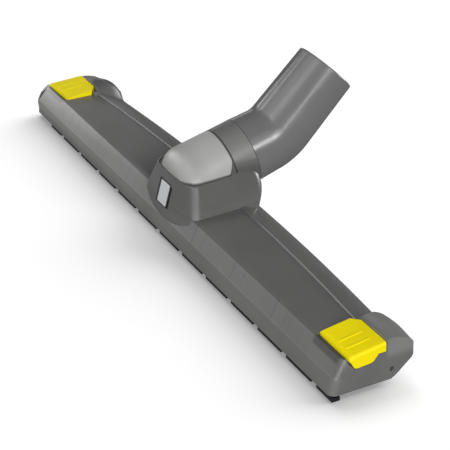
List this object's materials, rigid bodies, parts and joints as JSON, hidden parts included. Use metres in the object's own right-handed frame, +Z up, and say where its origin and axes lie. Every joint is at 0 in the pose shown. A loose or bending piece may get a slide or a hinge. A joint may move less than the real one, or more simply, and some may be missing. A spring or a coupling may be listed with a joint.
{
  "type": "vacuum floor brush head",
  "caption": "Wide floor nozzle with bristle strips, quick-release end latches, rear wheels and a swivelling tube elbow.",
  "frame": {"origin": "on the floor, under the middle of the part's outer box", "axes": "+X along the head to its right end as seen from behind the front edge, +Y from the front edge back towards the tube, +Z up"},
  "size_m": [0.45, 0.1474, 0.117],
  "materials": {
    "shell": "satin dark grey moulded plastic",
    "under_parts": "black moulded plastic",
    "strips": "dense black bristle",
    "latch": "bright yellow moulded plastic",
    "wheel": "soft dark grey tread",
    "steel": "bright zinc",
    "cap": "satin light grey moulded plastic",
    "badge": "pale silver plate",
    "ring": "natural acetal",
    "seal": "black rubber"
  },
  "bodies": {
    "head": {"upper_housing": "shell", "sole_plate": "under_parts", "front_rail": "under_parts", "rear_rail": "under_parts", "front_bristles": "strips", "rear_bristles": "strips", "neck_cap": "cap", "badge_plate": "badge", "retaining_ring": "ring", "sole_screws": "steel", "right_axle": "steel", "left_axle": "steel"},
    "elbow": {"elbow": "shell", "neck_seal": "seal"},
    "right_latch": {"right_latch": "latch"},
    "left_latch": {"left_latch": "latch"},
    "right_wheel": {"right_wheel": "wheel"},
    "left_wheel": {"left_wheel": "wheel"}
  },
  "joints": [
    {"name": "elbow_swivel", "type": "hinge", "parent": "head", "child": "elbow", "pos_m": [0, -0.0084, 0.0515], "axis": [0, 0.9617, 0.274], "continuous": true},
    {"name": "right_wheel_spin", "type": "hinge", "parent": "head", "child": "right_wheel", "pos_m": [0.21, -0.0318, 0.0112], "axis": [1, 0, 0], "continuous": true},
    {"name": "left_wheel_spin", "type": "hinge", "parent": "head", "child": "left_wheel", "pos_m": [-0.21, -0.0318, 0.0112], "axis": [1, 0, 0], "continuous": true},
    {"name": "right_latch_slide", "type": "slide", "parent": "head", "child": "right_latch", "axis": [1, 0, 0], "range_m": [0, 0.008]},
    {"name": "left_latch_slide", "type": "slide", "parent": "head", "child": "left_latch", "axis": [-1, 0, 0], "range_m": [0, 0.008]}
  ]
}
